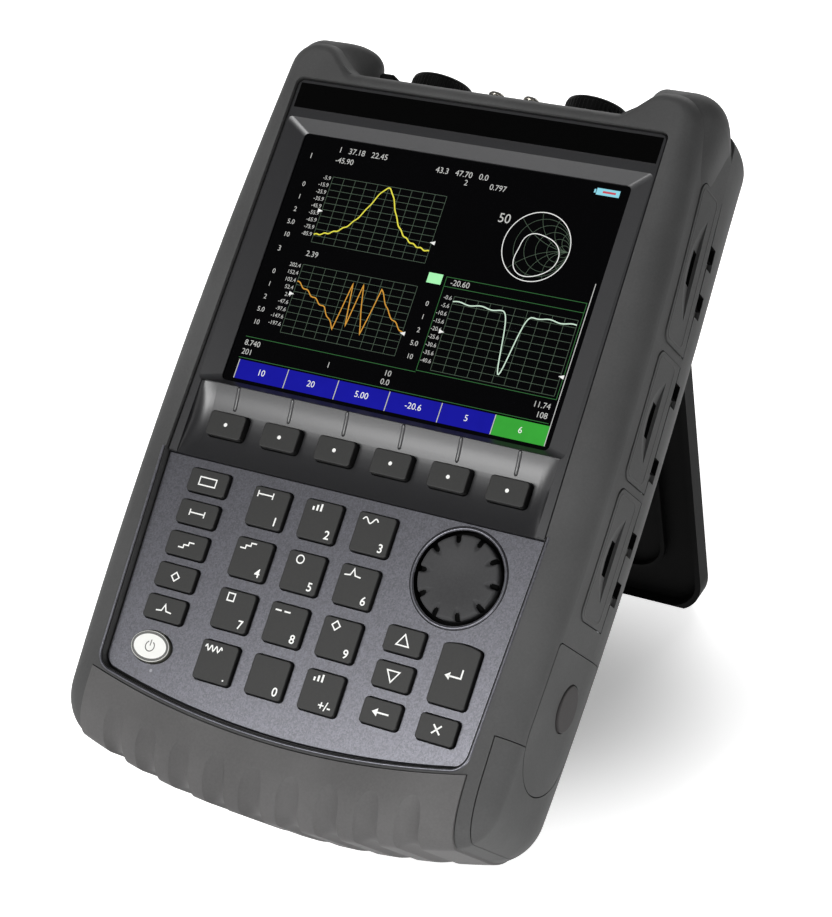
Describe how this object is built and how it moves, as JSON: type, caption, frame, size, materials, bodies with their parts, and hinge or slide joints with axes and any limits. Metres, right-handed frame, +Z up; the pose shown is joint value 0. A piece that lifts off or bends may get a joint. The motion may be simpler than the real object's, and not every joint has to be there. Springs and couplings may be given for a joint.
{
  "type": "handheld microwave analyzer",
  "caption": "Handheld microwave analyzer in a rubber-faced case, leaning on a fold-out stand, with a screen, keypad, knob, capped test ports and hinged side doors.",
  "frame": {"origin": "middle of the flat facet under the bottom end, on the surface that the case stands on", "axes": "+Z up, the screen faces -Y and leans back 40 degrees, +X to the viewer's right"},
  "size_m": [0.1878, 0.2694, 0.2554],
  "materials": {
    "case_rubber": "soft-touch dark grey",
    "grip_rubber": "fluted grey",
    "release_rubber": "smooth grey",
    "bezel_plastic": "satin charcoal",
    "strip_plastic": "gloss black",
    "window_glass": "clear over black",
    "plate_paint": "metallic sparkle paint",
    "key_rubber": "moulded charcoal",
    "power_plastic": "white",
    "knob_plastic": "moulded black",
    "black_plastic": "moulded black",
    "steel": "bright",
    "board": "green laminate",
    "panel": "screen module",
    "module_metal": "milled",
    "battery_wrap": "wrapped cells"
  },
  "bodies": {
    "body": {"battery_pack": "battery_wrap", "bottom_grip": "grip_rubber", "case_screws": "steel", "display_glass": "window_glass", "display_panel": "panel", "door_hinge_pins": "steel", "encoder": "black_plastic", "front_case": "case_rubber", "keypad_board": "board", "keypad_plate": "plate_paint", "main_board": "board", "name_strip": "strip_plastic", "rear_case": "case_rubber", "rf_module": "module_metal", "rf_ports": "steel", "screen_bezel": "bezel_plastic", "side_sockets": "steel", "sma_jacks": "steel", "stand_pins": "steel", "top_plug": "black_plastic"},
    "stand": {"kickstand": "black_plastic"},
    "knob": {"control_knob": "knob_plastic", "encoder_shaft": "steel"},
    "door_upper": {"port_door_upper": "case_rubber"},
    "door_middle": {"port_door_middle": "case_rubber"},
    "door_lower": {"port_door_lower": "case_rubber"},
    "battery_cover": {"battery_door": "case_rubber", "battery_door_panel": "case_rubber"},
    "battery_release": {"battery_door_button": "release_rubber"},
    "cap_left": {"dust_cap_left": "black_plastic"},
    "cap_right": {"dust_cap_right": "black_plastic"},
    "back_key": {"back_key": "key_rubber"},
    "down_key": {"down_key": "key_rubber"},
    "enter_key": {"enter_key": "key_rubber"},
    "escape_key": {"escape_key": "key_rubber"},
    "function_key_1": {"function_key_1": "key_rubber"},
    "function_key_2": {"function_key_2": "key_rubber"},
    "function_key_3": {"function_key_3": "key_rubber"},
    "function_key_4": {"function_key_4": "key_rubber"},
    "function_key_5": {"function_key_5": "key_rubber"},
    "number_key_0": {"number_key_0": "key_rubber"},
    "number_key_1": {"number_key_1": "key_rubber"},
    "number_key_2": {"number_key_2": "key_rubber"},
    "number_key_3": {"number_key_3": "key_rubber"},
    "number_key_4": {"number_key_4": "key_rubber"},
    "number_key_5": {"number_key_5": "key_rubber"},
    "number_key_6": {"number_key_6": "key_rubber"},
    "number_key_7": {"number_key_7": "key_rubber"},
    "number_key_8": {"number_key_8": "key_rubber"},
    "number_key_9": {"number_key_9": "key_rubber"},
    "point_key": {"point_key": "key_rubber"},
    "power_button": {"power_button": "power_plastic"},
    "sign_key": {"sign_key": "key_rubber"},
    "softkey_1": {"softkey_1": "key_rubber"},
    "softkey_2": {"softkey_2": "key_rubber"},
    "softkey_3": {"softkey_3": "key_rubber"},
    "softkey_4": {"softkey_4": "key_rubber"},
    "softkey_5": {"softkey_5": "key_rubber"},
    "softkey_6": {"softkey_6": "key_rubber"},
    "up_key": {"up_key": "key_rubber"}
  },
  "joints": [
    {"name": "stand_fold", "type": "hinge", "parent": "body", "child": "stand", "pos_m": [0, 0.17254, 0.19937], "axis": [-1, 0, 0], "range_deg": [0, 52.5]},
    {"name": "knob_turn", "type": "hinge", "parent": "body", "child": "knob", "pos_m": [0.0518, 0.01551, 0.1079], "axis": [0, -0.766, 0.6428], "continuous": true},
    {"name": "door_upper_hinge", "type": "hinge", "parent": "body", "child": "door_upper", "pos_m": [0.0894, 0.12759, 0.1892], "axis": [-0.0576, 0.6417, 0.7648], "range_deg": [0, 95]},
    {"name": "door_middle_hinge", "type": "hinge", "parent": "body", "child": "door_middle", "pos_m": [0.09183, 0.09001, 0.14441], "axis": [-0.0255, 0.6426, 0.7658], "range_deg": [0, 95]},
    {"name": "door_lower_hinge", "type": "hinge", "parent": "body", "child": "door_lower", "pos_m": [0.09241, 0.05638, 0.10434], "axis": [0.0033, 0.6428, 0.766], "range_deg": [0, 95]},
    {"name": "battery_door_slide", "type": "slide", "parent": "body", "child": "battery_cover", "axis": [1, 0, 0], "range_m": [0, 0.03]},
    {"name": "battery_release_press", "type": "slide", "parent": "battery_cover", "child": "battery_release", "axis": [-1, 0, 0], "range_m": [0, 0.0015], "stiffness_N_per_m": 2000},
    {"name": "cap_left_pull", "type": "slide", "parent": "body", "child": "cap_left", "axis": [0, 0.6428, 0.766], "range_m": [0, 0.03]},
    {"name": "cap_right_pull", "type": "slide", "parent": "body", "child": "cap_right", "axis": [0, 0.6428, 0.766], "range_m": [0, 0.03]},
    {"name": "power_button_press", "type": "slide", "parent": "body", "child": "power_button", "axis": [0, 0.766, -0.6428], "range_m": [0, 0.001], "stiffness_N_per_m": 2500},
    {"name": "enter_key_press", "type": "slide", "parent": "body", "child": "enter_key", "axis": [0, 0.766, -0.6428], "range_m": [0, 0.001], "stiffness_N_per_m": 2500},
    {"name": "softkey_1_press", "type": "slide", "parent": "body", "child": "softkey_1", "axis": [0, 0.766, -0.6428], "range_m": [0, 0.001], "stiffness_N_per_m": 2500},
    {"name": "number_key_5_press", "type": "slide", "parent": "body", "child": "number_key_5", "axis": [0, 0.766, -0.6428], "range_m": [0, 0.001], "stiffness_N_per_m": 2500},
    {"name": "up_key_press", "type": "slide", "parent": "body", "child": "up_key", "axis": [0, 0.766, -0.6428], "range_m": [0, 0.001], "stiffness_N_per_m": 2500},
    {"name": "function_key_1_press", "type": "slide", "parent": "body", "child": "function_key_1", "axis": [0, 0.766, -0.6428], "range_m": [0, 0.001], "stiffness_N_per_m": 2500},
    {"name": "back_key_press", "type": "slide", "parent": "body", "child": "back_key", "axis": [0, 0.766, -0.6428], "range_m": [0, 0.001], "stiffness_N_per_m": 2500},
    {"name": "down_key_press", "type": "slide", "parent": "body", "child": "down_key", "axis": [0, 0.766, -0.6428], "range_m": [0, 0.001], "stiffness_N_per_m": 2500},
    {"name": "escape_key_press", "type": "slide", "parent": "body", "child": "escape_key", "axis": [0, 0.766, -0.6428], "range_m": [0, 0.001], "stiffness_N_per_m": 2500},
    {"name": "function_key_2_press", "type": "slide", "parent": "body", "child": "function_key_2", "axis": [0, 0.766, -0.6428], "range_m": [0, 0.001], "stiffness_N_per_m": 2500},
    {"name": "function_key_3_press", "type": "slide", "parent": "body", "child": "function_key_3", "axis": [0, 0.766, -0.6428], "range_m": [0, 0.001], "stiffness_N_per_m": 2500},
    {"name": "function_key_4_press", "type": "slide", "parent": "body", "child": "function_key_4", "axis": [0, 0.766, -0.6428], "range_m": [0, 0.001], "stiffness_N_per_m": 2500},
    {"name": "function_key_5_press", "type": "slide", "parent": "body", "child": "function_key_5", "axis": [0, 0.766, -0.6428], "range_m": [0, 0.001], "stiffness_N_per_m": 2500},
    {"name": "number_key_0_press", "type": "slide", "parent": "body", "child": "number_key_0", "axis": [0, 0.766, -0.6428], "range_m": [0, 0.001], "stiffness_N_per_m": 2500},
    {"name": "number_key_1_press", "type": "slide", "parent": "body", "child": "number_key_1", "axis": [0, 0.766, -0.6428], "range_m": [0, 0.001], "stiffness_N_per_m": 2500},
    {"name": "number_key_2_press", "type": "slide", "parent": "body", "child": "number_key_2", "axis": [0, 0.766, -0.6428], "range_m": [0, 0.001], "stiffness_N_per_m": 2500},
    {"name": "number_key_3_press", "type": "slide", "parent": "body", "child": "number_key_3", "axis": [0, 0.766, -0.6428], "range_m": [0, 0.001], "stiffness_N_per_m": 2500},
    {"name": "number_key_4_press", "type": "slide", "parent": "body", "child": "number_key_4", "axis": [0, 0.766, -0.6428], "range_m": [0, 0.001], "stiffness_N_per_m": 2500},
    {"name": "number_key_6_press", "type": "slide", "parent": "body", "child": "number_key_6", "axis": [0, 0.766, -0.6428], "range_m": [0, 0.001], "stiffness_N_per_m": 2500},
    {"name": "number_key_7_press", "type": "slide", "parent": "body", "child": "number_key_7", "axis": [0, 0.766, -0.6428], "range_m": [0, 0.001], "stiffness_N_per_m": 2500},
    {"name": "number_key_8_press", "type": "slide", "parent": "body", "child": "number_key_8", "axis": [0, 0.766, -0.6428], "range_m": [0, 0.001], "stiffness_N_per_m": 2500},
    {"name": "number_key_9_press", "type": "slide", "parent": "body", "child": "number_key_9", "axis": [0, 0.766, -0.6428], "range_m": [0, 0.001], "stiffness_N_per_m": 2500},
    {"name": "point_key_press", "type": "slide", "parent": "body", "child": "point_key", "axis": [0, 0.766, -0.6428], "range_m": [0, 0.001], "stiffness_N_per_m": 2500},
    {"name": "sign_key_press", "type": "slide", "parent": "body", "child": "sign_key", "axis": [0, 0.766, -0.6428], "range_m": [0, 0.001], "stiffness_N_per_m": 2500},
    {"name": "softkey_2_press", "type": "slide", "parent": "body", "child": "softkey_2", "axis": [0, 0.766, -0.6428], "range_m": [0, 0.001], "stiffness_N_per_m": 2500},
    {"name": "softkey_3_press", "type": "slide", "parent": "body", "child": "softkey_3", "axis": [0, 0.766, -0.6428], "range_m": [0, 0.001], "stiffness_N_per_m": 2500},
    {"name": "softkey_4_press", "type": "slide", "parent": "body", "child": "softkey_4", "axis": [0, 0.766, -0.6428], "range_m": [0, 0.001], "stiffness_N_per_m": 2500},
    {"name": "softkey_5_press", "type": "slide", "parent": "body", "child": "softkey_5", "axis": [0, 0.766, -0.6428], "range_m": [0, 0.001], "stiffness_N_per_m": 2500},
    {"name": "softkey_6_press", "type": "slide", "parent": "body", "child": "softkey_6", "axis": [0, 0.766, -0.6428], "range_m": [0, 0.001], "stiffness_N_per_m": 2500}
  ]
}
